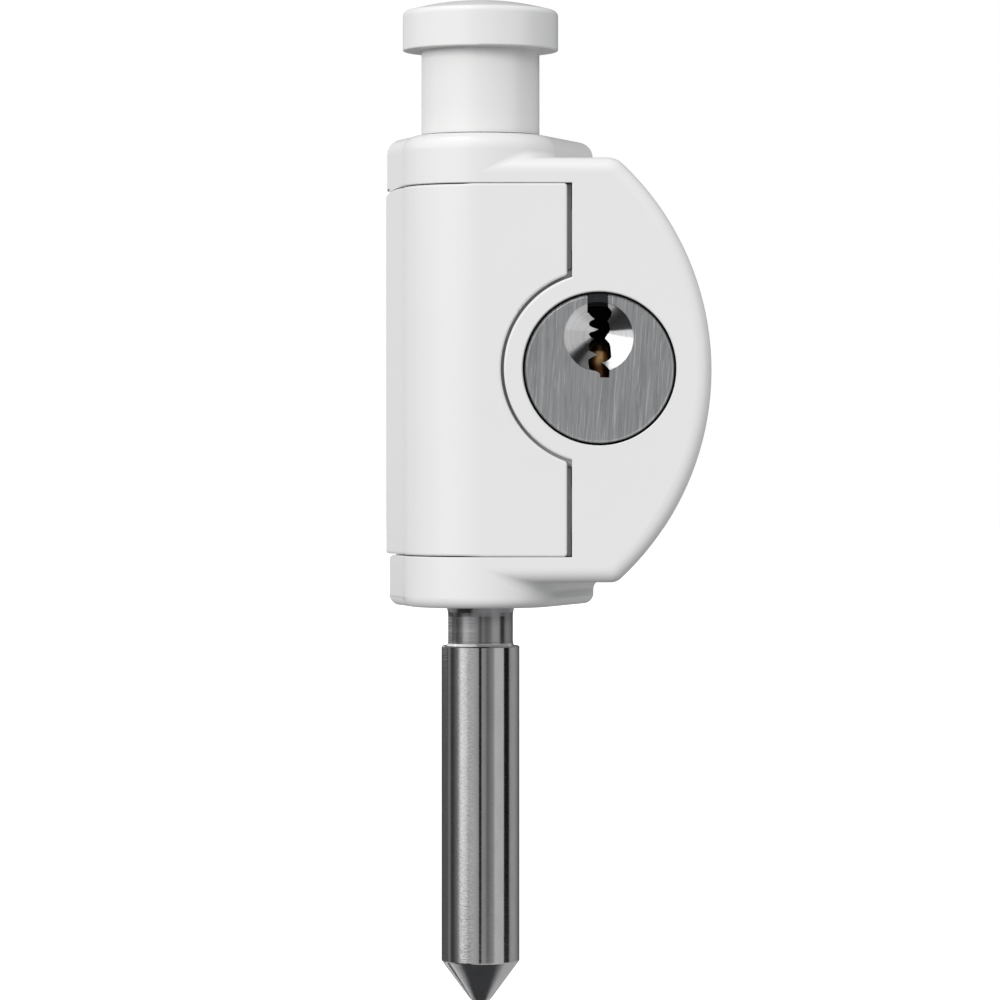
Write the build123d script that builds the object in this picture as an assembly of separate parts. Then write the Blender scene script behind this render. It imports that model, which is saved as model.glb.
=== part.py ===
from build123d import *
import math
import os

# Key-operated push lock for a sliding window or door.
# Millimetres. +X to the right of the case, +Y towards the frame it is screwed to,
# +Z up. Origin: middle of the back face of the case, behind the bolt.

# ---------------------------------------------------------------- dimensions
BOLT_AXIS_DEPTH = 12.0        # bolt axis in front of the back face
CASE_TOP = 29.88              # upper and lower end of the case
CASE_BOTTOM = -30.34
SPINE_R = 10.0                # half-round front of the spine, round the bolt axis
SPINE_RIGHT_ANGLE = 71.0      # where the right side leaves the half round
UPPER_LEFT_BACK = 12.18       # half width at the back, left, upper block
LOWER_LEFT_BACK = 11.88       # the same of the lower block
UPPER_RIGHT_BACK = 14.6       # half width at the back, right, upper block
LOWER_RIGHT_BACK = 14.72      # the same of the lower block
TOP_EDGE_R = 2.0
BOTTOM_EDGE_R = 1.3
CREASE_R = 0.3                # hollow corner where the left wall starts to flare
KNEE_DEPTH = 6.2              # where the flare ends and the wall runs straight back
KNEE_IN = 0.10

D_ARC_R = 36.0                # outer arc of the half-moon body
D_ARC_X = -6.75
D_ARC_Z = -0.22
D_TOP = 26.7
D_BOTTOM = -27.05
D_CORNER_HIGH_R = 2.8
D_CORNER_LOW_R = 2.0
D_EDGE_R = 1.9
D_WALL = 2.6

RECESS_TOP = 23.44            # recess that the screw cover fills
RECESS_BOTTOM = -23.82
RECESS_RIGHT = 11.60
RECESS_EDGE_R = 0.14
BOSS_R = 12.07                # raised ring round the lock cylinder
LEDGE_R = 12.95               # step round that ring, under the cover's edge

COVER_TOP = 23.30
COVER_BOTTOM = -23.68
COVER_RIGHT = 10.97
COVER_RISE, COVER_DROP = 0.10, 0.09      # by which its ends close up to the right
COVER_CUT_R = 12.45
COVER_T = 1.4
COVER_SIDE_T = 1.0
COVER_LEFT_BACK = 12.32
STEP_FRONT, STEP_BACK = -8.25, -7.30     # step behind the cover's right edge

LOCK_X = 15.05                # axis of the lock cylinder
LOCK_HOLE_R = 9.71
PLUG_HEAD_R = 9.44
PLUG_CORE_R = 7.90
DISH_TILT = 3.0               # by which the dish faces downwards
LOCK_BODY_R = 9.00
LOCK_BODY_BORE_R = 7.95
LOCK_BORE_R = 9.03
PIN_R = 1.20
CHAMBER_R = 1.27
PIN_DEPTHS = (-5.4, -2.4, 0.6, 3.6)      # along the cylinder, from the bolt axis
KEY_PIN_TIPS = (3.0, 1.9, 2.6, 1.5)      # height of each key pin's tip

CAM_R = 8.8
CAM_FRONT, CAM_BACK = 5.95, 7.9
SCROLL_R0 = 4.0               # radius of the scroll slot, lock open
LATCH_TRAVEL = 2.8            # latch stroke for a quarter turn
FOLLOWER_R = 1.0

BOLT_R = 5.0
BOLT_GROOVE_R = 3.6
BOLT_NECK_R = 4.16
BOLT_TRAVEL = 9.5
KNOB_STEM_R = 7.55
KNOB_BORE_R = 6.5
KNOB_HEAD_R = 9.95
KNOB_EDGE_R = 0.2
KNOB_UNDER = 40.75
KNOB_TOP = 47.20
SKIRT_END = 26.7

WEB_TOP = 17.0                # floor that carries the return spring
WEB_R = 7.2
SPRING_TOP = 42.0
SPRING_MEAN_R = 5.75
SPRING_WIRE_R = 0.40

MOUNT_X = 7.6                 # four mounting holes, +-X and +-Z
MOUNT_Z = 20.0
MOUNT_HOLE_R = 1.7
MOUNT_SINK_R = 2.75

FLANGE_FRONT = 8.5            # back flange, depth from the bolt axis
PLATE_FRONT = 10.3
BACK = BOLT_AXIS_DEPTH
FRONT = -SPINE_R

os.makedirs("parts", exist_ok=True)


# ---------------------------------------------------------------- helpers
# Depths ("d") are measured from the bolt axis towards the back.
def yy(d):
    return d - BOLT_AXIS_DEPTH


def box(x0, x1, d0, d1, z0, z1):
    return Pos((x0 + x1) / 2, (yy(d0) + yy(d1)) / 2, (z0 + z1) / 2) * Box(
        x1 - x0, d1 - d0, z1 - z0)


def ycyl(x, z, r, d0, d1):
    return Pos(x, (yy(d0) + yy(d1)) / 2, z) * Rot(90, 0, 0) * Cylinder(r, d1 - d0)


def ycone(x, z, r_front, r_back, d0, d1):
    return Pos(x, (yy(d0) + yy(d1)) / 2, z) * Rot(-90, 0, 0) * Cone(
        r_front, r_back, d1 - d0)


def zcyl(r, z0, z1, x=0.0, d=0.0):
    return Pos(x, yy(d), (z0 + z1) / 2) * Cylinder(r, z1 - z0)


def along_y(sketch, d0, d1):
    # sketch drawn in X, Z; made solid from depth d0 to d1
    body = extrude(Plane.XZ * sketch, d1 - d0)
    return Pos(0, yy(d1), 0) * body


def along_z(sketch, z0, z1):
    # sketch drawn in X, depth; made solid from z0 to z1
    return Pos(0, -BOLT_AXIS_DEPTH, z0) * extrude(sketch, z1 - z0)


def turned(points, x=0.0, d=0.0):
    # closed profile of (radius, z) pairs turned about a vertical axis
    face = make_face(Plane.XZ * Polyline(*points, close=True))
    return Pos(x, yy(d), 0) * revolve(face, Axis.Z, 360)


def left_wall(radius, crease_r, x_back, d_back):
    """Line of the flared left wall and the hollow corner that joins it to the
    half round: returns the corner's start on the round, its middle, its end,
    and the wall's back end, in (x, depth)."""
    phi = math.radians(4.0)
    cx = -(radius + crease_r) * math.cos(phi)
    cy = -(radius + crease_r) * math.sin(phi)
    start = (-radius * math.cos(phi), -radius * math.sin(phi))
    px, py = -x_back, d_back
    dx, dy = px - cx, py - cy
    dist = math.hypot(dx, dy)
    # tangent from the wall's back end to the corner circle, on its right side
    base = math.atan2(dy, dx)
    a = base - math.acos(crease_r / dist)
    end = (cx + crease_r * math.cos(a), cy + crease_r * math.sin(a))
    a0 = math.atan2(start[1] - cy, start[0] - cx)
    am = (a0 + a) / 2
    mid = (cx + crease_r * math.cos(am), cy + crease_r * math.sin(am))
    return start, mid, end, (px, py)


def round_knee(face, knee, r):
    corner = [v for v in face.vertices()
              if math.hypot(v.X - knee[0], v.Y - knee[1]) < 1e-3]
    return fillet(corner, r)


def side_prism(points, width=4.02):
    """Prism through the flared left wall; its outline is given as (depth, z)."""
    plane = Plane(origin=(-14, 0, 0), x_dir=(0, 1, 0), z_dir=(1, 0, 0))
    face = make_face(plane * Polyline(*[(yy(d), z) for d, z in points], close=True))
    return extrude(face, width)


def spine_sketch(left_back, right_back):
    start, mid, end, knee = left_wall(SPINE_R, CREASE_R, left_back - KNEE_IN, KNEE_DEPTH)
    back = (-left_back, BACK)
    t = math.radians(SPINE_RIGHT_ANGLE)
    right = (SPINE_R * math.sin(t), -SPINE_R * math.cos(t))
    edges = [
        Line(back, knee),
        Line(knee, end),
        ThreePointArc(end, mid, start),
        ThreePointArc(start, (0, -SPINE_R), right),
        Line(right, (right_back, BACK)),
        Line((right_back, BACK), back),
    ]
    return round_knee(make_face(edges), knee, 3.0)


def rounded_prism(left_back, right_back, z0, z1, round_top, round_bottom):
    body = along_z(spine_sketch(left_back, right_back), z0, z1)
    for z, r in ((z1, round_top), (z0, round_bottom)):
        if r:
            rim = [e for e in body.edges()
                   if abs(e.center().Z - z) < 1e-4 and abs(e.center().Y) > 1e-3]
            body = fillet(rim, r)
    return body


def d_sketch(inset, x_left, z_low, z_high, low_r, high_r):
    r = D_ARC_R - inset
    x_low = D_ARC_X + math.sqrt(r * r - (z_low - D_ARC_Z) ** 2)
    x_high = D_ARC_X + math.sqrt(r * r - (z_high - D_ARC_Z) ** 2)
    face = make_face([
        Line((x_left, z_low), (x_low, z_low)),
        ThreePointArc((x_low, z_low), (D_ARC_X + r, D_ARC_Z), (x_high, z_high)),
        Line((x_high, z_high), (x_left, z_high)),
        Line((x_left, z_high), (x_left, z_low)),
    ])
    for side, r in ((-1, low_r), (1, high_r)):
        corner = [v for v in face.vertices() if v.X > x_left + 0.01
                  and abs(v.Y - (z_high if side > 0 else z_low)) < 1e-3]
        face = fillet(corner, r)
    return face


# ---------------------------------------------------------------- housing
def make_housing():
    upper = rounded_prism(UPPER_LEFT_BACK, UPPER_RIGHT_BACK, RECESS_TOP, CASE_TOP,
                          TOP_EDGE_R, 0)
    lower = rounded_prism(LOWER_LEFT_BACK, LOWER_RIGHT_BACK, CASE_BOTTOM, RECESS_BOTTOM,
                          0, BOTTOM_EDGE_R)
    # the upper block's left wall reaches down a little towards the back, and its
    # back corner is set in; the lower block's back corner is broken
    skirt = along_z(spine_sketch(UPPER_LEFT_BACK, UPPER_RIGHT_BACK), 22.4, 23.6)
    upper += skirt & side_prism(((0.9, 23.6), (0.9, 23.41), (5.2, 23.08), (5.2, 23.6)))
    upper -= side_prism(((4.6, 22.3), (4.6, 23.3), (5.9, 24.46), (12.3, 24.60), (12.3, 22.3)))
    lower -= side_prism(((4.6, -23.7), (4.7, RECESS_BOTTOM), (6.0, -24.15), (12.3, -24.30),
                         (12.3, -23.7)))

    moon = along_y(d_sketch(0, 0.0, D_BOTTOM, D_TOP, D_CORNER_LOW_R, D_CORNER_HIGH_R),
                   FRONT, BACK)
    rim = [e for e in moon.edges()
           if abs(e.center().Y - yy(FRONT)) < 1e-4 and e.center().X > 0.01]
    moon = fillet(rim, D_EDGE_R)
    # the half-moon body stops at the recess wall, with the boss round the lock
    moon -= box(-1, RECESS_RIGHT, FRONT - 1, BACK + 1, RECESS_BOTTOM, RECESS_TOP)

    # back flange behind the cover, its left edge parallel to the cover's wall
    flange = along_z(make_face(Polyline(
        (-10.45, FLANGE_FRONT), (RECESS_RIGHT + 0.5, FLANGE_FRONT),
        (RECESS_RIGHT + 0.5, BACK), (-11.08, BACK), close=True)),
        RECESS_BOTTOM - 0.2, RECESS_TOP + 0.2)

    body = upper + lower + moon
    # blends where the half-moon body leaves the round spine
    for side, r in ((1, 0.95), (-1, 1.5)):
        seam = [e for e in body.edges()
                if 24 < side * e.center().Z < 27.5
                and 0.5 < e.bounding_box().max.X < 14.8
                and e.bounding_box().max.X - e.bounding_box().min.X > 0.5]
        body = fillet(seam, r)
    # softly broken edges of the recess
    edge = [e for e in body.edges()
            if abs(e.center().Y - yy(FRONT)) < 1e-4
            and (abs(e.center().X - RECESS_RIGHT) < 1e-3
                 or min(abs(e.center().Z - RECESS_TOP), abs(e.center().Z - RECESS_BOTTOM)) < 1e-3)]
    body = fillet(edge, RECESS_EDGE_R)
    body += flange

    # hollow inside of the half-moon body, open at the back
    body -= along_y(d_sketch(D_WALL, 13.9, -24.2, 24.0, 1.6, 1.6), -7.6, BACK + 1)

    # boss ring, cylinder tube and the seat of the pin chambers
    boss = ycyl(LOCK_X, 0, BOSS_R, FRONT, -5.7)
    boss = fillet([e for e in boss.edges().filter_by(GeomType.CIRCLE)
                   if abs(e.center().Y - yy(FRONT)) < 1e-4], 0.3)
    body += boss
    # step round the boss, behind the cover's hollow edge
    body += ycyl(LOCK_X, 0, LEDGE_R, -8.45, -5.7) & box(
        0, RECESS_RIGHT + 0.5, -9, -5, RECESS_BOTTOM, RECESS_TOP)
    body += ycyl(LOCK_X, 0, 10.6, -8.0, 5.9)
    body += box(10.9, 19.2, -5.7, 5.9, -16.0, -6.0)
    body += box(RECESS_RIGHT, 19.2, -8.0, -5.6, -16.0, -6.0)
    # ring wall round the back of the cylinder, right side, for its retainer
    ring = ycyl(LOCK_X, 0, 11.7, 4.0, PLATE_FRONT)
    body += ring & box(LOCK_X, 30, 3.0, 12, -20, 20)

    # floor that carries the spring, with the latch guide under it
    floor = zcyl(WEB_R, 15.0, WEB_TOP)
    floor += box(-WEB_R, RECESS_RIGHT + 0.5, 0, FLANGE_FRONT + 0.2, 15.0, WEB_TOP)
    body += floor
    body += box(6.3, RECESS_RIGHT + 0.5, -5.7, FLANGE_FRONT + 0.2, 9.0, WEB_TOP)
    # lower web that stops the bolt's upward travel
    body += zcyl(WEB_R, -12.6, -10.6)
    body += box(-WEB_R, 9.0, 0, FLANGE_FRONT + 0.2, -12.6, -10.6)

    # bosses for the back plate's screws
    for x, z in PLATE_SCREWS:
        body += ycyl(x, z, 2.6, -8.0, PLATE_FRONT)

    # ---- cuts
    # seat of the back plate
    body -= plate_outline(0.1, PLATE_FRONT, BACK + 1)
    # bolt and knob
    body -= zcyl(KNOB_STEM_R + 0.35, 17.05, CASE_TOP + 1)
    body -= zcyl(8.4, RECESS_TOP - 0.5, 29.1)
    body -= zcyl(6.3, -29.2, RECESS_BOTTOM + 0.5)
    body -= zcyl(BOLT_R + 0.3, CASE_BOTTOM - 1, RECESS_BOTTOM + 1)
    body -= zcyl(BOLT_R + 0.2, -14.0, 18.0)
    body -= zcyl(BOLT_R + 0.4, -10.4, 14.8)
    # lock cylinder
    body -= ycyl(LOCK_X, 0, LOCK_HOLE_R, FRONT - 1, -7.6)
    body -= ycone(LOCK_X, 0, LOCK_HOLE_R + 0.14, LOCK_HOLE_R, FRONT - 0.001, FRONT + 0.16)
    body -= ycyl(LOCK_X, 0, LOCK_BORE_R, -7.7, 6.5)
    body -= box(LOCK_X - 2.7, LOCK_X + 2.7, -7.6, 5.95, -14.65, -5.0)
    body -= ycyl(LOCK_X, 0, 10.5, 4.75, PLATE_FRONT + 0.1) & box(LOCK_X - 2.0, 30, 4, 12, -20, 20)
    body -= ycyl(LOCK_X, 0, 9.4, 5.85, PLATE_FRONT + 0.1)
    # room for the latch: arm behind the cylinder, nose above it
    body -= box(4.9, 15.0, 5.85, PLATE_FRONT + 0.1, -3.0, 14.35)
    body -= box(3.5, 13.2, -3.1, PLATE_FRONT + 0.1, 10.3, 14.3)
    # screws of the back plate
    for x, z in PLATE_SCREWS:
        body -= ycyl(x, z, 1.30, 1.0, PLATE_FRONT + 0.1)
    # countersunk mounting holes
    for x in (-MOUNT_X, MOUNT_X):
        for z in (-MOUNT_Z, MOUNT_Z):
            body -= ycyl(x, z, MOUNT_HOLE_R, FLANGE_FRONT - 1, BACK + 1)
            body -= ycone(x, z, MOUNT_SINK_R, MOUNT_HOLE_R, FLANGE_FRONT, FLANGE_FRONT + 1.6)
            body -= ycyl(x, z, MOUNT_SINK_R, FLANGE_FRONT - 1.2, FLANGE_FRONT)
    # pockets for the cover's tongues, and a rebate for its back lip
    for z in (-1, 1):
        body -= box(RECESS_RIGHT - 0.5, 12.95, STEP_FRONT - 0.08, STEP_BACK + 0.08,
                    z * 17.5 - 2.65, z * 17.5 + 2.65)
    body -= box(-13, -9.75, 10.85, BACK + 1, RECESS_BOTTOM, RECESS_TOP)
    return body


PLATE_SCREWS = ((17.3, 19.8), (17.3, -19.8), (22.9, 11.2), (22.9, -11.2))


def plate_outline(grow, d0, d1):
    moon = d_sketch(1.35 - grow, 12.6 - grow, -25.4 - grow, 25.2 + grow, 1.6, 1.6)
    tab = Pos(7.5, 5.5) * RectangleRounded(12.0 + 2 * grow, 21.0 + 2 * grow, 1.5)
    return along_y(moon + tab, d0, d1)


# ---------------------------------------------------------------- case parts
def make_back_plate():
    plate = plate_outline(0.0, PLATE_FRONT, BACK - 0.02)
    for x, z in PLATE_SCREWS:
        plate -= ycyl(x, z, 1.35, PLATE_FRONT - 1, BACK + 1)
        plate -= ycone(x, z, 1.35, 2.40, BACK - 1.05, BACK + 0.01)
    return plate


def make_plate_screws():
    screws = []
    for x, z in PLATE_SCREWS:
        s = ycyl(x, z, 1.22, 3.2, BACK - 1.1)
        s += ycone(x, z, 1.22, 2.28, BACK - 1.15, BACK - 0.09)
        s += ycone(x, z, 0.3, 1.22, 2.4, 3.2)
        s -= ycyl(x, z, 0.16, BACK - 1.0, BACK + 0.1)
        for a in (0, 90):
            s -= Pos(x, yy(BACK - 0.4), z) * Rot(0, a + 45, 0) * Box(2.3, 0.9, 0.42)
        screws.append(s)
    return Compound(screws)


def make_upper_bush():
    # its thin lip stands just out of the case, round the knob's stem
    bush = zcyl(8.38, RECESS_TOP + 0.05, 29.05) + zcyl(KNOB_STEM_R + 0.16, 28.9, 29.98)
    return bush - zcyl(KNOB_STEM_R + 0.06, 20, 31)


def make_lower_bush():
    return zcyl(6.28, -29.15, RECESS_BOTTOM - 0.05) - zcyl(BOLT_R + 0.06, -31, -20)


# ---------------------------------------------------------------- screw cover
def make_cover():
    so, mo, eo, ko = left_wall(SPINE_R, CREASE_R, COVER_LEFT_BACK - KNEE_IN, KNEE_DEPTH)
    bo = (-COVER_LEFT_BACK, BACK - 0.05)
    ri = SPINE_R - COVER_T
    si, mi, ei, ki = left_wall(ri, CREASE_R + 1.2, COVER_LEFT_BACK - KNEE_IN - COVER_SIDE_T,
                               KNEE_DEPTH + 0.3)
    bi = (-COVER_LEFT_BACK + COVER_SIDE_T, 11.0)
    face = make_face([
        Line(bo, ko),
        Line(ko, eo),
        ThreePointArc(eo, mo, so),
        ThreePointArc(so, (-SPINE_R * math.sin(math.radians(40)),
                           -SPINE_R * math.cos(math.radians(40))), (0, -SPINE_R)),
        Line((0, -SPINE_R), (COVER_RIGHT, -SPINE_R)),
        Line((COVER_RIGHT, -SPINE_R), (COVER_RIGHT, -ri)),
        Line((COVER_RIGHT, -ri), (0, -ri)),
        ThreePointArc((0, -ri), (-ri * math.sin(math.radians(40)),
                                 -ri * math.cos(math.radians(40))), si),
        ThreePointArc(si, mi, ei),
        Line(ei, ki),
        Line(ki, bi),
        Line(bi, (-9.95, 11.15)),
        Line((-9.95, 11.15), (-9.95, BACK - 0.05)),
        Line((-9.95, BACK - 0.05), bo),
    ])
    face = round_knee(round_knee(face, ko, 3.0), ki, 2.0)
    cover = along_z(face, COVER_BOTTOM - COVER_DROP, COVER_TOP + COVER_RISE)
    # its upper and lower ends close up to the case towards the right
    for z, by, x0, x1 in ((COVER_TOP, COVER_RISE, -2.2, -0.8),
                          (COVER_BOTTOM, -COVER_DROP, -2.2, 0.4)):
        cover -= along_y(make_face(Polyline(
            (-14, z), (x0, z), (x1, z + 0.85 * by), (12, z + by),
            (12, z + 5 * by), (-14, z + 5 * by), close=True)), FRONT - 1, BACK + 1)
    # hollow edge that follows the boss round the lock cylinder
    cover -= ycyl(LOCK_X, 0, COVER_CUT_R, FRONT - 1, -5.0)
    corners = [e for e in cover.edges().filter_by(Axis.Y)
               if abs(e.center().X - COVER_RIGHT) < 1e-3]
    cover = fillet(corners, 0.45)
    rim = [e for e in cover.edges()
           if abs(e.center().Y - yy(FRONT)) < 1e-4 and abs(e.center().X) > 0.02]
    cover = fillet(rim, 0.30)
    # sloped ends of the left wall
    cover -= side_prism(((0.9, 23.6), (0.9, 23.30), (4.6, 23.02), (4.7, 22.98), (6.2, 22.42),
                         (12.3, 22.36), (12.3, 23.6)), 5.2)
    cover -= side_prism(((2.9, -23.9), (2.9, COVER_BOTTOM), (4.4, -23.60), (5.6, -23.35),
                         (6.3, -23.05), (12.3, -22.95), (12.3, -23.9)))
    # step behind the right edge that closes the gap, with two tongues that
    # reach under the half-moon body's edge
    step = box(9.0, 10.2, -8.65, STEP_BACK, COVER_BOTTOM, COVER_TOP)
    step += box(9.0, 11.50, STEP_FRONT, STEP_BACK, COVER_BOTTOM, COVER_TOP)
    for z in (-17.5, 17.5):
        step += box(9.0, 12.75, STEP_FRONT, STEP_BACK, z - 2.5, z + 2.5)
    step -= ycyl(LOCK_X, 0, LEDGE_R + 0.15, -9, -5)
    return cover + step


# ---------------------------------------------------------------- lock cylinder
def make_cylinder_body():
    body = ycyl(LOCK_X, 0, LOCK_BODY_R, -7.45, 5.8)
    body += box(LOCK_X - 2.6, LOCK_X + 2.6, -7.45, 5.8, -14.5, -5.0)
    body += ycyl(LOCK_X, 0, 10.4, 4.85, 5.8) & box(LOCK_X, 30, 4, 7, -20, 20)
    body -= ycyl(LOCK_X, 0, LOCK_BODY_BORE_R, -8, 6)
    for d in PIN_DEPTHS:
        body -= zcyl(CHAMBER_R, -15, -7.0, LOCK_X, d)
    return body


def make_retainer():
    ring = ycyl(LOCK_X, 0, 10.4, 5.85, PLATE_FRONT - 0.05) - ycyl(LOCK_X, 0, 9.5, 5, 11)
    wedge = make_face(Polyline((LOCK_X, 0), (LOCK_X + 6, -18), (LOCK_X + 20, -18),
                               (LOCK_X + 20, 18), (LOCK_X + 6, 18), close=True))
    return ring & along_y(wedge, 5, 11)


KEYWAY = (
    (-1.46, 8.03), (-1.42, 7.31), (-1.26, 6.83), (-0.93, 6.51), (-0.61, 6.26),
    (-1.09, 6.02), (-1.32, 5.74), (-1.22, 5.38), (-0.77, 5.18), (-0.09, 4.98),
    (-0.61, 4.74), (-1.18, 4.57), (-1.34, 4.33), (-1.09, 4.01), (-0.61, 3.77),
    (-1.09, 3.45), (-1.32, 3.05), (-1.30, 2.48), (-1.26, 2.24), (-0.69, 2.00),
    (-0.25, 1.72), (-0.77, 1.52), (-1.38, 1.16), (-1.42, 0.87), (-1.32, 0.07),
    (-1.26, -0.09), (-0.69, -0.29), (-0.13, -0.49), (0.07, -0.73), (0.07, -1.14),
    (1.24, -1.14), (1.28, -0.17), (1.00, 0.15), (0.68, 0.47), (0.31, 0.75),
    (0.68, 0.83), (1.24, 1.12), (1.52, 1.44), (1.40, 2.81), (1.28, 3.21),
    (1.00, 3.53), (0.72, 3.81), (0.92, 4.17), (1.24, 4.58), (1.36, 5.06),
    (1.24, 5.62), (1.04, 6.02), (1.44, 6.59), (1.56, 7.07), (1.40, 7.43),
    (1.12, 7.71), (1.04, 8.03))


def make_plug():
    plug = ycyl(LOCK_X, 0, PLUG_HEAD_R, -9.95, -7.7)
    plug = chamfer([e for e in plug.edges().filter_by(GeomType.CIRCLE)
                    if abs(e.center().Y - yy(-9.95)) < 1e-4], 0.30)
    plug += ycyl(LOCK_X, 0, PLUG_CORE_R, -7.8, 5.82)
    # square that drives the cam
    plug += box(LOCK_X - 2.0, LOCK_X + 2.0, 5.7, 7.85, -2.0, 2.0)
    # conical dish that guides the key, off centre
    dish = ycone(0, 0, 5.395, 0.01, 9.60, BOLT_AXIS_DEPTH)     # its tip at the origin
    plug -= Pos(LOCK_X - 0.1, yy(-8.0), 4.64) * Rot(DISH_TILT, 0, 0) * dish
    # notch from the dish to the top edge
    plug -= box(LOCK_X - 1.53, LOCK_X + 1.08, -11, -8.75, 7.0, 10.0)
    way = [(LOCK_X + x, z) for x, z in KEYWAY]
    way = [(way[0][0], 9.0)] + way + [(way[-1][0], 9.0)]
    slot = along_y(make_face(Polyline(*way, close=True)), -11, 4.95)
    head_top = box(LOCK_X - 4, LOCK_X + 4, -9.0, -7.7, 7.89, 10.0)
    plug -= slot - head_top
    for d in PIN_DEPTHS:
        plug -= zcyl(CHAMBER_R, -8.2, 3.3, LOCK_X, d)
    plug -= ycyl(LOCK_X, 0, 1.30, 5.2, 8.0)
    return plug


def make_key_pins():
    pins = []
    for d, tip in zip(PIN_DEPTHS, KEY_PIN_TIPS):
        pins.append(turned(((0, -7.76), (1.0, -7.76), (PIN_R, -7.56), (PIN_R, tip - 0.75),
                            (0.55, tip), (0, tip)), LOCK_X, d))
    return Compound(pins)


def make_driver_pins():
    pins = []
    for d in PIN_DEPTHS:
        pins.append(turned(((0, -7.99), (1.0, -7.99), (PIN_R, -8.15), (PIN_R, -10.4),
                            (0, -10.4)), LOCK_X, d))
    return Compound(pins)


def make_pin_springs():
    springs = []
    for d in PIN_DEPTHS:
        path = Helix(pitch=0.50, height=2.50, radius=0.90)
        start = path @ 0
        wire = Plane(origin=start, z_dir=path % 0) * Circle(0.12)
        coil = sweep(wire, path=path)
        springs.append(Pos(LOCK_X, yy(d), -13.05) * coil)
    return Compound(springs)


def make_chamber_plugs():
    return Compound([zcyl(CHAMBER_R - 0.01, -14.45, -13.25, LOCK_X, d) for d in PIN_DEPTHS])


def make_cam():
    cam = ycyl(LOCK_X, 0, CAM_R, CAM_FRONT, CAM_BACK)
    cam -= box(LOCK_X - 2.02, LOCK_X + 2.02, 5, 9, -2.02, 2.02)
    # spiral slot that draws the latch sideways as the plug turns
    half = FOLLOWER_R + 0.06
    inner, outer = [], []
    steps = 26
    lo, hi = -4.0, 94.0
    for i in range(steps + 1):
        a = math.radians(lo + (hi - lo) * i / steps)
        r = SCROLL_R0 + LATCH_TRAVEL * a / (math.pi / 2)
        dr = LATCH_TRAVEL / (math.pi / 2)
        # centre line and its unit normal
        cx, cz = -r * math.cos(a), -r * math.sin(a)
        tx = -dr * math.cos(a) + r * math.sin(a)
        tz = -dr * math.sin(a) - r * math.cos(a)
        n = math.hypot(tx, tz)
        nx, nz = -tz / n, tx / n
        inner.append((LOCK_X + cx + half * nx, cz + half * nz))
        outer.append((LOCK_X + cx - half * nx, cz - half * nz))
        if i in (0, steps):
            cam -= ycyl(LOCK_X + cx, cz, half, 5, 9)
    slot = make_face(Polyline(*(inner + outer[::-1]), close=True))
    cam -= along_y(slot, 5, 9)
    return cam


def make_cam_screw():
    s = ycyl(LOCK_X, 0, 2.35, CAM_BACK + 0.03, 9.2)
    s += ycyl(LOCK_X, 0, 1.22, 5.4, CAM_BACK + 0.1)
    hexagon = Pos(LOCK_X, 0) * RegularPolygon(0.85, 6)
    s -= along_y(hexagon, 8.3, 10)
    return s


# ---------------------------------------------------------------- latch
def make_latch():
    latch = box(8.3, 12.25, 8.2, 9.8, -2.2, 14.2)
    latch += box(6.7, 12.25, -3.0, 9.8, 10.4, 14.2)
    nose = [e for e in latch.edges().filter_by(Axis.Y)
            if abs(e.center().X - 6.7) < 1e-4]
    latch = chamfer(nose, 0.5)
    latch -= ycyl(LOCK_X - SCROLL_R0, 0, FOLLOWER_R, 8, 10)
    return latch


def make_follower():
    return ycyl(LOCK_X - SCROLL_R0, 0, FOLLOWER_R, CAM_FRONT + 0.1, 9.8)


# ---------------------------------------------------------------- bolt and knob
def make_bolt():
    pts = [
        (0, 45.6), (2.6, 45.6), (3.0, 45.2), (3.0, SPRING_TOP), (4.6, SPRING_TOP),
        (BOLT_R, SPRING_TOP - 0.4),
        (BOLT_R, 23.9), (BOLT_GROOVE_R, 23.9), (BOLT_GROOVE_R, 19.7), (BOLT_R, 19.7),
        (BOLT_R, 14.4), (BOLT_GROOVE_R, 14.4), (BOLT_GROOVE_R, 10.2), (BOLT_R, 10.2),
        (BOLT_R, -13.2), (4.25, -13.2), (4.25, -14.0), (BOLT_R, -14.0),
        (BOLT_R, -29.5), (4.62, -29.9), (4.45, -30.25), (4.28, -30.65), (4.19, -31.05),
        (BOLT_NECK_R, -31.5),
        (BOLT_NECK_R, -34.80), (4.19, -34.85), (4.19, -35.07), (4.35, -35.35), (4.86, -35.35),
        (BOLT_R, -35.49), (BOLT_R, -75.70), (4.95, -75.83), (1.50, -80.51), (1.12, -80.91),
        (0.60, -81.21), (0, -81.29),
    ]
    return turned(pts)


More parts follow.
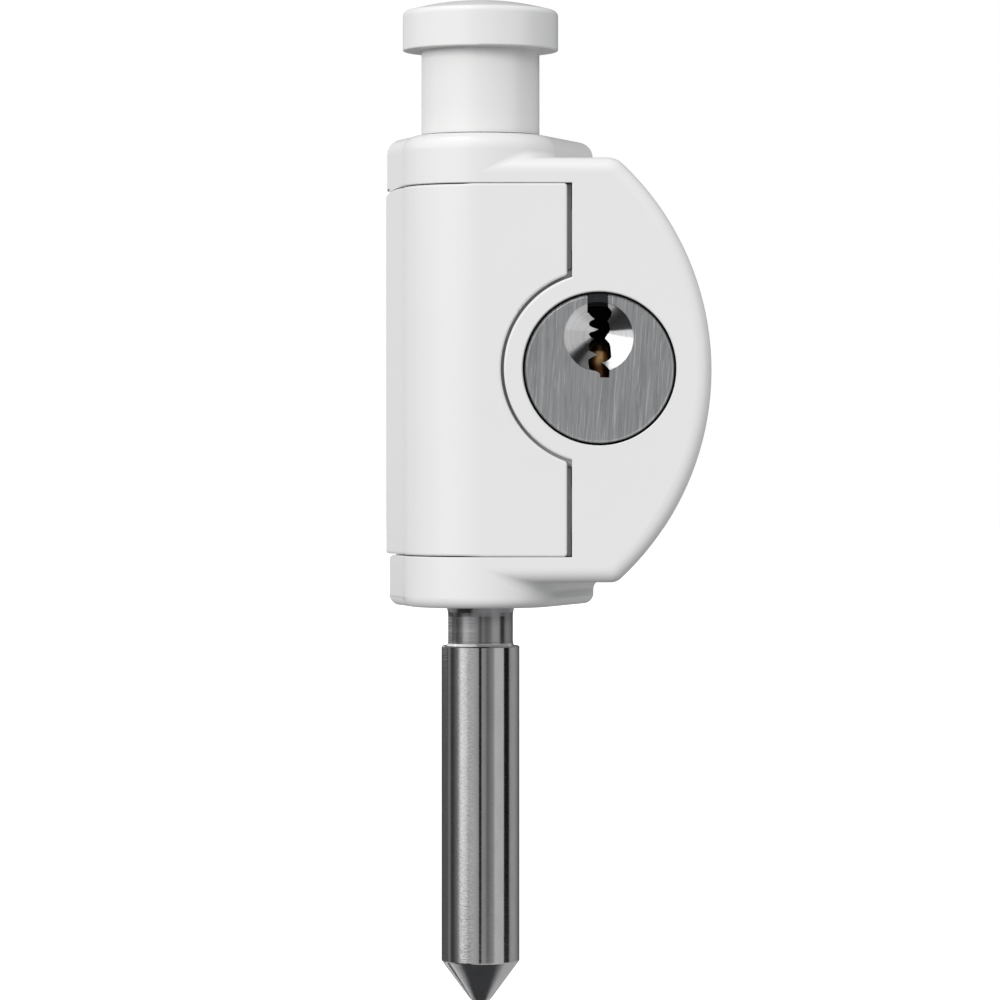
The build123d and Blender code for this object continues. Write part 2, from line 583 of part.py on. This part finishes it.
def make_knob():
    head_r = KNOB_HEAD_R
    crown = 34.5
    pts = [
        (0, 45.7), (3.02, 45.7), (3.02, SPRING_TOP), (KNOB_BORE_R, SPRING_TOP),
        (KNOB_BORE_R, SKIRT_END), (KNOB_STEM_R - 0.4, SKIRT_END),
        (KNOB_STEM_R, SKIRT_END + 0.4), (KNOB_STEM_R, KNOB_UNDER),
        (head_r - KNOB_EDGE_R, KNOB_UNDER),
    ]
    edges = [Line(a, b) for a, b in zip(pts, pts[1:])]
    # lower edge, side, upper edge and crown of the head
    edges.append(RadiusArc(pts[-1], (head_r, KNOB_UNDER + KNOB_EDGE_R), -KNOB_EDGE_R))
    edges.append(Line((head_r, KNOB_UNDER + KNOB_EDGE_R), (head_r, 45.12)))
    z9 = KNOB_TOP - crown + math.sqrt(crown ** 2 - 9.2 ** 2)
    edges.append(ThreePointArc((head_r, 45.12), (9.76, 45.66), (9.2, z9)))
    zm = KNOB_TOP - crown + math.sqrt(crown ** 2 - 4.6 ** 2)
    edges.append(ThreePointArc((9.2, z9), (4.6, zm), (0, KNOB_TOP)))
    edges.append(Line((0, KNOB_TOP), (0, 45.7)))
    face = make_face([Plane.XZ * e for e in edges])
    return Pos(0, yy(0), 0) * revolve(face, Axis.Z, 360)


def make_stop_washer():
    return zcyl(7.0, -13.22, -12.65) - zcyl(BOLT_R + 0.08, -14, -12)


def make_e_clip():
    clip = zcyl(7.0, -13.95, -13.24) - zcyl(4.28, -15, -12)
    clip -= box(-3.0, 3.0, -9.0, 0.0, -15, -12)
    for a in (60, 180, 300):
        clip -= Rot(0, 0, 0) * zcyl(0.9, -15, -12, 5.3 * math.sin(math.radians(a)),
                                    -5.3 * math.cos(math.radians(a)))
    return clip


def make_return_spring():
    low, high = WEB_TOP + SPRING_WIRE_R + 0.02, SPRING_TOP - SPRING_WIRE_R - 0.02
    path = Helix(pitch=(high - low) / 9.0, height=high - low, radius=SPRING_MEAN_R)
    wire = Plane(origin=path @ 0, z_dir=path % 0) * Circle(SPRING_WIRE_R)
    return Pos(0, yy(0), low) * sweep(wire, path=path)


NODES = {
    "housing": make_housing,
    "screw_cover": make_cover,
    "back_plate": make_back_plate,
    "back_plate_screws": make_plate_screws,
    "upper_guide_bush": make_upper_bush,
    "lower_guide_bush": make_lower_bush,
    "cylinder_body": make_cylinder_body,
    "cylinder_retainer": make_retainer,
    "plug": make_plug,
    "key_pins": make_key_pins,
    "driver_pins": make_driver_pins,
    "pin_springs": make_pin_springs,
    "chamber_plugs": make_chamber_plugs,
    "scroll_cam": make_cam,
    "cam_screw": make_cam_screw,
    "latch": make_latch,
    "follower_pin": make_follower,
    "bolt": make_bolt,
    "knob": make_knob,
    "stop_washer": make_stop_washer,
    "bolt_e_clip": make_e_clip,
    "return_spring": make_return_spring,
}

for name, make in NODES.items():
    shape = make()
    shape.label = name
    export_step(shape, "parts/" + name + ".step")
    print(name, round(shape.volume, 2), "solids", len(shape.solids()))
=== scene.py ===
import math

import bpy
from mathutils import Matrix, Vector

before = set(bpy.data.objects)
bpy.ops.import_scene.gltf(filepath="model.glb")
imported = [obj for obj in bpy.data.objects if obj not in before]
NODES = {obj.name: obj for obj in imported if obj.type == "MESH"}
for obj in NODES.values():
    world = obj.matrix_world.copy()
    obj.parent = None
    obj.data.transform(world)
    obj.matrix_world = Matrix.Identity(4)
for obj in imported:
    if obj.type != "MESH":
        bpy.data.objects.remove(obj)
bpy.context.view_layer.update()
scene = bpy.context.scene

# ------------------------------------------------------------------ camera
# Level with the middle of the case, a little to the right of the bolt, and far
# enough off that the lens sees only a slight perspective.
AXIS_Y = -0.012
cam_data = bpy.data.cameras.new("camera")
cam_data.lens = 172.8
cam_data.sensor_width = 36.0
cam_data.clip_start, cam_data.clip_end = 0.05, 50.0
cam = bpy.data.objects.new("camera", cam_data)
scene.collection.objects.link(cam)
eye = Vector((0.0025, AXIS_Y - 0.6154, -0.00978))
aim = Vector((0.0025, AXIS_Y, -0.01670))
cam.location = eye
cam.rotation_mode = "QUATERNION"
cam.rotation_quaternion = (aim - eye).to_track_quat("-Z", "Y")
scene.camera = cam

scene.view_settings.view_transform = "Standard"
scene.view_settings.look = "None"
scene.view_settings.exposure = 0.0
scene.view_settings.gamma = 1.0


# ------------------------------------------------------------------ node helpers
class Net:
    """Short way to write a node tree."""

    def __init__(self, tree):
        self.tree = tree
        self.nodes = tree.nodes
        self.links = tree.links
        self.nodes.clear()

    def add(self, kind, _set=None, **inputs):
        n = self.nodes.new(kind)
        for k, v in (_set or {}).items():
            setattr(n, k, v)
        for k, v in inputs.items():
            self.put(n, k.replace("_", " "), v)
        return n

    def put(self, n, key, v):
        sock = n.inputs[key] if not isinstance(key, int) else n.inputs[key]
        if isinstance(v, bpy.types.NodeSocket):
            self.links.new(v, sock)
        else:
            sock.default_value = v

    def math(self, op, a, b=None, c=None, clamp=False):
        n = self.nodes.new("ShaderNodeMath")
        n.operation = op
        n.use_clamp = clamp
        for i, v in enumerate((a, b, c)):
            if v is not None:
                self.put(n, i, v)
        return n.outputs[0]

    def vmath(self, op, a, b=None, scale=None):
        n = self.nodes.new("ShaderNodeVectorMath")
        n.operation = op
        self.put(n, 0, a)
        if b is not None:
            self.put(n, 1, b)
        if scale is not None:
            self.put(n, "Scale", scale)
        return n.outputs["Value"] if op in ("DOT_PRODUCT", "LENGTH", "DISTANCE") else n.outputs["Vector"]

    def ramp(self, fac, stops, interpolation="LINEAR"):
        n = self.nodes.new("ShaderNodeValToRGB")
        cr = n.color_ramp
        cr.interpolation = interpolation
        while len(cr.elements) > 1:
            cr.elements.remove(cr.elements[-1])
        first = True
        for pos, col in stops:
            if not isinstance(col, (tuple, list)):
                col = (col, col, col)
            if first:
                e = cr.elements[0]
                e.position = pos
                first = False
            else:
                e = cr.elements.new(pos)
            e.color = (*col[:3], 1.0)
        self.put(n, "Fac", fac)
        return n.outputs["Color"]

    def mix(self, fac, a, b, blend="MIX"):
        n = self.nodes.new("ShaderNodeMix")
        n.data_type = "RGBA"
        n.blend_type = blend
        self.put(n, 0, fac)
        for key, v in ((6, a), (7, b)):
            if not isinstance(v, bpy.types.NodeSocket) and len(v) == 3:
                v = (*v, 1.0)
            self.put(n, key, v)
        return n.outputs[2]

    def mixf(self, fac, a, b):
        n = self.nodes.new("ShaderNodeMix")
        n.data_type = "FLOAT"
        self.put(n, 0, fac)
        self.put(n, 2, a)
        self.put(n, 3, b)
        return n.outputs[0]

    def smooth(self, v, lo, hi, a=0.0, b=1.0):
        n = self.nodes.new("ShaderNodeMapRange")
        n.interpolation_type = "SMOOTHSTEP"
        self.put(n, "Value", v)
        for k, x in (("From Min", lo), ("From Max", hi), ("To Min", a), ("To Max", b)):
            self.put(n, k, x)
        return n.outputs["Result"]

    def noise(self, vec, scale, detail=2.0, rough=0.5, distortion=0.0):
        n = self.nodes.new("ShaderNodeTexNoise")
        n.normalize = True
        for k, v in (("Vector", vec), ("Scale", scale), ("Detail", detail),
                     ("Roughness", rough), ("Distortion", distortion)):
            self.put(n, k, v)
        return n.outputs["Fac"]

    def scaled(self, vec, sx, sy, sz, rot=(0.0, 0.0, 0.0)):
        n = self.nodes.new("ShaderNodeMapping")
        self.put(n, "Vector", vec)
        n.inputs["Rotation"].default_value = rot
        n.inputs["Scale"].default_value = (sx, sy, sz)
        return n.outputs["Vector"]

    def bump(self, height, strength, distance, normal=None):
        n = self.nodes.new("ShaderNodeBump")
        self.put(n, "Height", height)
        n.inputs["Strength"].default_value = strength
        n.inputs["Distance"].default_value = distance
        if normal is not None:
            self.put(n, "Normal", normal)
        return n.outputs["Normal"]


def new_material(name):
    m = bpy.data.materials.new(name)
    m.use_nodes = True
    return m, Net(m.node_tree)


def surface(net, **inputs):
    b = net.add("ShaderNodeBsdfPrincipled")
    for k, v in inputs.items():
        k = k.replace("_", " ")
        if not isinstance(v, bpy.types.NodeSocket) and isinstance(v, tuple) and len(v) == 3 and "Color" in k:
            v = (*v, 1.0)
        net.put(b, k, v)
    out = net.add("ShaderNodeOutputMaterial")
    net.links.new(b.outputs[0], out.inputs["Surface"])
    return b


def coords(net):
    return net.add("ShaderNodeTexCoord").outputs["Object"]


# ------------------------------------------------------------------ materials
LOCK_X = 0.01505
DISH = (LOCK_X - 0.0001, 0.00402)


def white_paint():
    """Gloss powder coat on die-cast metal: almost white, with a faint orange peel.
    Walls that stand in the narrow gaps and the step behind them are darkened as painted shade: the bore walls
    near black, the step dark grey."""
    m, n = new_material("white_powder_coat")
    p = coords(n)
    sep = n.add("ShaderNodeSeparateXYZ", Vector=p)
    x, y, z = (sep.outputs[k] for k in "XYZ")
    slow = n.noise(p, 55.0, 3.0, 0.55)
    peel = n.noise(p, 620.0, 2.0, 0.5)
    fine = n.noise(p, 3600.0, 2.0, 0.6)
    tone = n.ramp(slow, [(0.30, (0.806, 0.806, 0.796)), (0.70, (0.818, 0.818, 0.806))])
    rough = n.math("ADD", n.math("MULTIPLY", peel, 0.03), n.math("MULTIPLY", fine, 0.03))
    rough = n.math("ADD", rough, 0.20)
    # painted shade: the bore round the plug, under the rim of the hole, is coloured near black
    flat = n.add("ShaderNodeCombineXYZ", X=x, Y=0.0, Z=z).outputs[0]
    far = n.vmath("DISTANCE", flat, (LOCK_X, 0.0, 0.0))
    bore_painted_shade = n.math("MULTIPLY", n.smooth(far, 0.00975, 0.00979, 1.0, 0.0), n.smooth(y, -0.02178, -0.02170))
    # painted shade: the step behind the gap between cover and case is darkened towards grey
    deep = n.smooth(y, -0.02075, -0.02060)
    near = n.math("MULTIPLY", n.smooth(x, 0.0012, 0.0016), n.smooth(x, 0.01300, 0.01304, 1.0, 0.0))
    gap_step_painted_shade = n.math("MULTIPLY", n.math("MULTIPLY", deep, near),
                  n.math("LESS_THAN", n.math("ABSOLUTE", z), 0.0238))
    # painted shade: the step behind the gap is mixed part way to dark grey
    colour = n.mix(n.math("MULTIPLY", gap_step_painted_shade, 0.45), tone, (0.16, 0.16, 0.165))
    # painted shade: the bore is coloured near black
    colour = n.mix(bore_painted_shade, colour, (0.012, 0.012, 0.013))
    nrm = n.bump(peel, 0.06, 0.00005)
    nrm = n.bump(fine, 0.05, 0.00001, nrm)
    surface(n, Base_Color=colour, Roughness=rough, Normal=nrm, Specular_IOR_Level=0.5)
    return m


def polished_bolt():
    """Turned and polished steel: fine rings round the axis, small pits, sharp reflections."""
    m, n = new_material("polished_bolt_steel")
    p = coords(n)
    sep = n.add("ShaderNodeSeparateXYZ", Vector=p)
    x, y, z = (sep.outputs[k] for k in "XYZ")
    # strip at the left of the front, scuffed by the plate that the bolt enters
    scuffed = n.math("MULTIPLY", n.smooth(x, -0.0034, -0.0026), n.smooth(x, -0.0012, -0.0004, 1.0, 0.0))
    scuffed = n.math("MULTIPLY", scuffed, n.math("LESS_THAN", y, -0.012))
    rings = n.noise(n.scaled(p, 40.0, 40.0, 4600.0), 1.0, 1.0, 0.6)
    turns = n.noise(n.scaled(p, 30.0, 30.0, 3400.0), 1.0, 1.0, 0.5)
    pits = n.noise(n.scaled(p, 2600.0, 2600.0, 5000.0), 1.0, 2.0, 0.55)
    wavy = n.noise(n.scaled(p, 900.0, 900.0, 260.0), 1.0, 2.0, 0.5)
    neck = n.math("MULTIPLY", n.smooth(z, -0.03508, -0.03502), n.smooth(z, -0.0296, -0.0292, 1.0, 0.0))
    cone = n.smooth(z, -0.07572, -0.07580)
    # painted shade: from the flare upward the steel is darkened towards 0.24
    flare_painted_shade = n.smooth(z, -0.03320, -0.03110, 0.0, 0.85)
    tone = n.ramp(wavy, [(0.25, (0.590, 0.592, 0.598)), (0.75, (0.650, 0.650, 0.654))])
    tone = n.mix(n.mixf(scuffed, 0.22, 1.0), tone,
                 n.mix(1.0, tone, n.ramp(pits, [(0.34, (0.91, 0.91, 0.91)), (0.50, (1.0, 1.0, 1.0)),
                                                (0.66, (1.13, 1.13, 1.13))]), "MULTIPLY"))
    dark = n.smooth(pits, 0.70, 0.76)
    colour = n.mix(n.math("MULTIPLY", dark, 0.35), tone, (0.30, 0.30, 0.31))
    colour = n.mix(n.math("MULTIPLY", neck, 0.9), colour, (0.38, 0.38, 0.385))
    # painted shade on the flare
    colour = n.mix(flare_painted_shade, colour, (0.24, 0.24, 0.25))
    # painted highlight: the ledge at the foot of the neck is coloured near white (0.97)
    foot_painted_highlight = n.math("MULTIPLY", n.smooth(z, -0.03504, -0.03506), n.smooth(z, -0.03536, -0.03534))
    colour = n.mix(foot_painted_highlight, colour, (0.97, 0.97, 0.97))
    rough = n.math("ADD", 0.045, n.math("MULTIPLY", pits, 0.07))
    rough = n.mixf(neck, rough, 0.19)
    rough = n.mixf(cone, rough, 0.14)
    # in front, where it catches the light from above, the neck's foot under its painted highlight is made
    # rough
    front = n.math("MULTIPLY", n.smooth(x, -0.0033, -0.0030), n.smooth(x, -0.0006, -0.0002, 1.0, 0.0))
    rough = n.mixf(n.math("MULTIPLY", foot_painted_highlight, front), rough, 0.55)
    nrm = n.bump(rings, 0.30, 0.000005)
    nrm = n.bump(n.math("MULTIPLY", pits, n.mixf(scuffed, 0.25, 1.0)), 0.60, 0.000011, nrm)
    deep = n.math("MULTIPLY", turns, n.math("MAXIMUM", neck, n.math("MULTIPLY", cone, 0.3)))
    nrm = n.bump(deep, 0.60, 0.000022, nrm)
    surface(n, Base_Color=colour, Metallic=1.0, Roughness=rough, Normal=nrm)
    return m


def brushed_plug():
    """Satin nickel face brushed upright, a polished dish with turning rings; the
    notch floor and the keyway are coloured dark as painted shade, with worn brass low inside the keyway."""
    m, n = new_material("brushed_plug_face")
    p = coords(n)
    sep = n.add("ShaderNodeSeparateXYZ", Vector=p)
    x, depth, z = (sep.outputs[k] for k in "XYZ")
    leant = n.scaled(p, 1.0, 1.0, 1.0, (0.0, math.radians(-3.0), 0.0))
    more = n.scaled(p, 1.0, 1.0, 1.0, (0.0, math.radians(-4.5), 0.0))
    strokes = n.noise(n.scaled(leant, 6400.0, 300.0, 130.0), 1.0, 4.0, 0.75)
    broad = n.noise(n.scaled(leant, 1500.0, 200.0, 60.0), 1.0, 2.0, 0.6)
    long_ = n.noise(n.scaled(more, 8000.0, 300.0, 170.0), 1.0, 2.0, 0.6)
    scratch = n.smooth(long_, 0.60, 0.66)
    both = n.math("ADD", n.math("MULTIPLY", strokes, 0.6), n.math("MULTIPLY", broad, 0.4))
    tone = n.ramp(both, [(0.30, (0.42, 0.43, 0.44)), (0.52, (0.63, 0.64, 0.65)), (0.72, (0.85, 0.86, 0.87))])
    tone = n.mix(n.math("MULTIPLY", scratch, 0.85), tone, (0.95, 0.96, 0.97))
    # distances from the middle of the dish and of the plug
    flat = n.add("ShaderNodeCombineXYZ", X=x, Y=0.0, Z=z).outputs[0]
    far = n.vmath("DISTANCE", flat, (DISH[0], 0.0, DISH[1]))
    out = n.vmath("DISTANCE", flat, (LOCK_X, 0.0, 0.0))
    below = n.smooth(depth, -0.02193, -0.02190)           # under the front face
    dish = n.math("MULTIPLY", n.smooth(far, 0.00443, 0.00447, 1.0, 0.0), below)
    edge = n.smooth(out, 0.00908, 0.00914)
    # painted shade: the floor of the notch at the top of the keyway is coloured almost black
    notch_painted_shade = n.math("MULTIPLY", n.smooth(z, 0.00690, 0.00700), n.smooth(depth, -0.02120, -0.02100))
    inside = n.smooth(depth, -0.0199, -0.0193)
    rings = n.noise(n.add("ShaderNodeCombineXYZ", X=far, Y=0.0, Z=0.0).outputs[0], 9000.0, 3.0, 0.7)
    arcs = n.noise(n.add("ShaderNodeCombineXYZ", X=far, Y=0.3, Z=0.0).outputs[0], 1400.0, 1.0, 0.5)
    dish_tone = n.ramp(arcs, [(0.3, (0.62, 0.62, 0.63)), (0.7, (0.80, 0.80, 0.81))])
    colour = n.mix(dish, tone, dish_tone)
    # painted shade on the notch floor
    colour = n.mix(n.math("MULTIPLY", notch_painted_shade, 0.93), colour, (0.035, 0.038, 0.042))
    # painted shade: inside the keyway is coloured near black; low down it is brass-brown
    keyway_shade_and_brass = n.mix(n.smooth(z, 0.0024, 0.0040), (0.30, 0.19, 0.09), (0.012, 0.014, 0.018))
    colour = n.mix(inside, colour, keyway_shade_and_brass)
    rough = n.math("ADD", 0.22, n.math("MULTIPLY", strokes, 0.26))
    rough = n.mixf(dish, rough, 0.10)
    rough = n.mixf(edge, rough, 0.34)
    rough = n.mixf(inside, rough, 0.45)
    keep = n.math("SUBTRACT", 1.0, n.math("MAXIMUM", dish, n.math("MAXIMUM", inside, edge)))
    h1 = n.math("MULTIPLY", both, keep)
    nrm = n.bump(h1, 0.55, 0.000022)
    h2 = n.math("MULTIPLY", rings, dish)
    nrm = n.bump(h2, 0.25, 0.000006, nrm)
    surface(n, Base_Color=colour, Metallic=1.0, Roughness=rough, Normal=nrm)
    return m


def machined(name, dark, light, rough, grain=(900.0, 900.0, 900.0), bump=0.2):
    """Plain machined, drawn or plated metal."""
    m, n = new_material(name)
    p = coords(n)
    a = n.noise(n.scaled(p, *grain), 1.0, 4.0, 0.65)
    b = n.noise(p, 220.0, 2.0, 0.5)
    both = n.math("ADD", n.math("MULTIPLY", a, 0.6), n.math("MULTIPLY", b, 0.4))
    colour = n.ramp(both, [(0.30, dark), (0.72, light)])
    r = n.math("ADD", rough - 0.06, n.math("MULTIPLY", a, 0.14))
    nrm = n.bump(a, bump, 0.000012)
    surface(n, Base_Color=colour, Metallic=1.0, Roughness=r, Normal=nrm)
    return m


def cylinder_brass():
    """Brass body of the lock cylinder; its front, in the shade behind the plug's head,
    is coloured near black as painted shade."""
    m, n = new_material("cylinder_body_brass")
    p = coords(n)
    y = n.add("ShaderNodeSeparateXYZ", Vector=p).outputs["Y"]
    a = n.noise(n.scaled(p, 300.0, 3000.0, 300.0), 1.0, 4.0, 0.65)
    # painted shade: the front of the body is coloured near black, not metallic and rough
    front = n.smooth(y, -0.0186, -0.0180, 1.0, 0.0)
    colour = n.ramp(a, [(0.30, (0.62, 0.36, 0.13)), (0.72, (0.84, 0.54, 0.23))])
    colour = n.mix(front, colour, (0.010, 0.009, 0.008))
    rough = n.mixf(front, n.math("ADD", 0.20, n.math("MULTIPLY", a, 0.14)), 0.7)
    surface(n, Base_Color=colour, Metallic=n.math("SUBTRACT", 1.0, front), Roughness=rough,
            Normal=n.bump(a, 0.2, 0.000012))
    return m


def pin_brass():
    """Brass pins: worn bright just under the tip, tarnished brown elsewhere."""
    m, n = new_material("worn_pin_brass")
    p = coords(n)
    z = n.add("ShaderNodeSeparateXYZ", Vector=p).outputs["Z"]
    a = n.noise(p, 2600.0, 3.0, 0.6)
    worn = n.math("MULTIPLY", n.smooth(z, 0.0002, 0.0012), n.smooth(z, 0.0016, 0.0026, 1.0, 0.15))
    colour = n.ramp(a, [(0.3, (0.70, 0.43, 0.19)), (0.7, (0.88, 0.60, 0.30))])
    colour = n.mix(worn, (0.20, 0.095, 0.045), colour)
    surface(n, Base_Color=colour, Metallic=1.0, Roughness=n.math("ADD", 0.34, n.math("MULTIPLY", a, 0.2)),
            Normal=n.bump(a, 0.4, 0.00002))
    return m


def nylon():
    m, n = new_material("dark_moulded_nylon")
    p = coords(n)
    a = n.noise(p, 1800.0, 3.0, 0.6)
    colour = n.ramp(a, [(0.3, (0.022, 0.022, 0.024)), (0.7, (0.040, 0.040, 0.042))])
    r = n.math("ADD", 0.42, n.math("MULTIPLY", a, 0.15))
    surface(n, Base_Color=colour, Roughness=r, Normal=n.bump(a, 0.2, 0.00001))
    return m


PAINT = white_paint()
BOLT = polished_bolt()
PLUG = brushed_plug()
BRASS = machined("machined_brass", (0.62, 0.36, 0.13), (0.86, 0.56, 0.24), 0.26, (300.0, 300.0, 5000.0))
PIN_BRASS = pin_brass()
ZINC = machined("zinc_plated_steel", (0.52, 0.53, 0.54), (0.70, 0.71, 0.71), 0.34, (500.0, 500.0, 160.0), 0.12)
SPRING = machined("spring_steel", (0.30, 0.30, 0.31), (0.46, 0.46, 0.47), 0.30, (2500.0, 2500.0, 2500.0))
NYLON = nylon()
BODY = cylinder_brass()

FINISH = {
    "housing": PAINT, "screw_cover": PAINT, "knob": PAINT,
    "bolt": BOLT, "follower_pin": BOLT,
    "plug": PLUG,
    "cylinder_body": BODY, "key_pins": PIN_BRASS, "driver_pins": BRASS, "chamber_plugs": BRASS,
    "back_plate": ZINC, "back_plate_screws": ZINC, "cylinder_retainer": ZINC,
    "scroll_cam": ZINC, "cam_screw": ZINC, "latch": ZINC,
    "return_spring": SPRING, "pin_springs": SPRING, "bolt_e_clip": SPRING,
    "upper_guide_bush": NYLON, "lower_guide_bush": NYLON, "stop_washer": NYLON,
}
for name, obj in NODES.items():
    obj.data.materials.clear()
    obj.data.materials.append(FINISH[name])


# ------------------------------------------------------------------ light
def make_world():
    """Soft studio light as one surround. The lens sees plain white behind the
    object; matt surfaces get a broad fill; polished ones reflect soft boxes and
    the dark gaps between them."""
    world = bpy.data.worlds.new("studio")
    scene.world = world
    world.use_nodes = True
    n = Net(world.node_tree)
    d = n.add("ShaderNodeTexCoord").outputs["Generated"]
    sep = n.add("ShaderNodeSeparateXYZ", Vector=d)
    x, y, z = (sep.outputs[k] for k in "XYZ")
    # broad fill for matt surfaces, a little cool
    tilt = n.vmath("DOT_PRODUCT", d, (0.05, 0.0, 0.29))
    soft = n.math("ADD", tilt, 0.44)
    # surround for reflections: azimuth from the lens, to the right positive
    az = n.math("ARCTAN2", x, n.math("MULTIPLY", y, -1.0))
    fac = n.math("ADD", n.math("MULTIPLY", az, 1.0 / (2 * math.pi)), 0.5)

    def at(deg):
        return deg / 360.0 + 0.5

    def band(stops):
        return n.ramp(fac, [(min(max(at(a), 0.0), 1.0), v) for a, v in stops])

    level = band([(-180, 0.08), (-134, 0.11), (-113, 0.12), (-110, 0.22), (-102, 0.21), (-98, 0.06),
                  (-88, 0.06), (-76, 0.18), (-69, 0.34), (-63, 0.80), (-56, 1.02), (-43, 0.84),
                  (-36, 0.58), (-18, 0.52), (-5.4, 0.38), (-3.9, 0.012), (2.5, 0.012), (3.9, 0.33),
                  (12, 0.33), (21, 0.15), (38, 0.32), (45, 0.61), (72, 0.58), (75, 0.012),
                  (92, 0.012), (97, 0.30), (104, 0.40), (118, 0.40), (136, 0.27), (155, 0.12),
                  (180, 0.10)])
    high = band([(-180, 0.35), (-125, 0.45), (-110, 1.3), (-95, 1.6), (-24, 1.6), (-18, 1.3),
                 (-13, 0.30), (12, 0.22), (27, 0.17), (31, 0.03), (39, 0.02), (41, 0.20),
                 (46, 0.38), (60, 0.50), (120, 0.45), (180, 0.35)])
    low = band([(-180, 0.30), (-156, 0.60), (-149, 0.90), (-147, 0.05), (-138, 0.05), (-136, 0.85),
                (-125, 0.50), (-99, 0.42), (-92, 0.08), (-50, 0.07), (-44, 0.03), (-39, 0.03), (-35, 0.07),
                (-28, 0.42), (-15, 0.45), (10, 0.58), (30, 0.52), (40, 0.56), (46, 0.72),
                (60, 0.62), (95, 0.50), (150, 0.52), (180, 0.30)])
    rise = n.smooth(az, 0.0, 0.45, 0.06, 0.36)
    up = n.smooth(n.math("SUBTRACT", z, rise), -0.03, 0.03)
    down = n.smooth(z, -0.137, -0.118, 1.0, 0.0)
    refl = n.mix(up, level, high)
    refl = n.mix(down, refl, low)
    # pale wall behind the left side, above the height that the bolt mirrors
    wall = n.math("MULTIPLY", n.smooth(az, math.radians(-124.0), math.radians(-118.0), 1.0, 0.0),
                  n.smooth(z, -0.040, -0.030))
    wall = n.math("MULTIPLY", wall, n.smooth(az, math.radians(-174.0), math.radians(-162.0)))
    refl = n.mix(wall, refl, (0.75, 0.75, 0.75))
    # high light box that the step at the foot of the bolt's neck mirrors
    box = n.math("MULTIPLY", n.smooth(az, math.radians(-96.0), math.radians(-88.0)),
                 n.smooth(az, math.radians(2.0), math.radians(8.0), 1.0, 0.0))
    refl = n.mix(n.math("MULTIPLY", box, n.smooth(z, 0.73, 0.77)), refl, (1.9, 1.9, 1.9))
    # overhead: grey, with one bright soft box at the upper left
    refl = n.mix(n.smooth(z, 0.90, 0.96), refl, (0.40, 0.41, 0.42))
    glow = n.vmath("DISTANCE", d, (-0.33, -0.10, 0.93))
    refl = n.mix(n.smooth(glow, 0.16, 0.30, 1.0, 0.0), refl, (3.5, 3.5, 3.5))
    refl = n.mix(n.smooth(z, -0.92, -0.73, 1.0, 0.0), refl, (0.055, 0.056, 0.06))
    path = n.add("ShaderNodeLightPath").outputs
    soft_c = n.add("ShaderNodeCombineColor", Red=n.math("MULTIPLY", soft, 0.985), Green=soft,
                   Blue=n.math("MULTIPLY", soft, 1.012)).outputs[0]
    colour = n.mix(path["Is Glossy Ray"], soft_c, refl)
    colour = n.mix(path["Is Camera Ray"], colour, (1.0, 1.0, 1.0))
    bg = n.add("ShaderNodeBackground", Color=colour, Strength=1.0)
    out = n.add("ShaderNodeOutputWorld")
    n.links.new(bg.outputs[0], out.inputs["Surface"])
    world.cycles.sampling_method = "NONE"


def soft_sun(name, azimuth, elevation, level, spread, colour=(1.0, 1.0, 1.0)):
    """Distant soft light that only brightens matt surfaces; the surround above
    makes the reflections."""
    data = bpy.data.lights.new(name, "SUN")
    data.energy = level * math.pi
    data.angle = math.radians(spread)
    data.color = colour
    lamp = bpy.data.objects.new(name, data)
    scene.collection.objects.link(lamp)
    a, e = math.radians(azimuth), math.radians(elevation)
    toward = Vector((math.sin(a) * math.cos(e), -math.cos(a) * math.cos(e), math.sin(e)))
    lamp.rotation_mode = "QUATERNION"
    lamp.rotation_quaternion = toward.to_track_quat("Z", "Y")
    lamp.location = toward * 2.0
    lamp.visible_glossy = False
    lamp.visible_camera = False
    return lamp


make_world()
soft_sun("key_light", -36.0, 15.0, 0.56, 28.0)
soft_sun("front_light", 22.0, 28.0, 0.11, 30.0)
soft_sun("right_light", 80.0, 50.0, 0.08, 40.0)
soft_sun("left_rear_light", -122.0, 5.0, 0.06, 30.0)
soft_sun("rear_light", 178.0, 4.0, 0.30, 30.0)

# plain pale floor
floor_m, fn = new_material("pale_floor")
surface(fn, Base_Color=(0.9, 0.9, 0.9), Roughness=0.9, Emission_Color=(1.0, 1.0, 1.0), Emission_Strength=0.45)
bpy.ops.mesh.primitive_circle_add(vertices=96, radius=6.0, fill_type="NGON", location=(0.0, 0.0, -0.125))
floor = bpy.context.object
floor.name = "floor"
floor.data.materials.append(floor_m)
floor.visible_diffuse = False
floor.visible_glossy = False
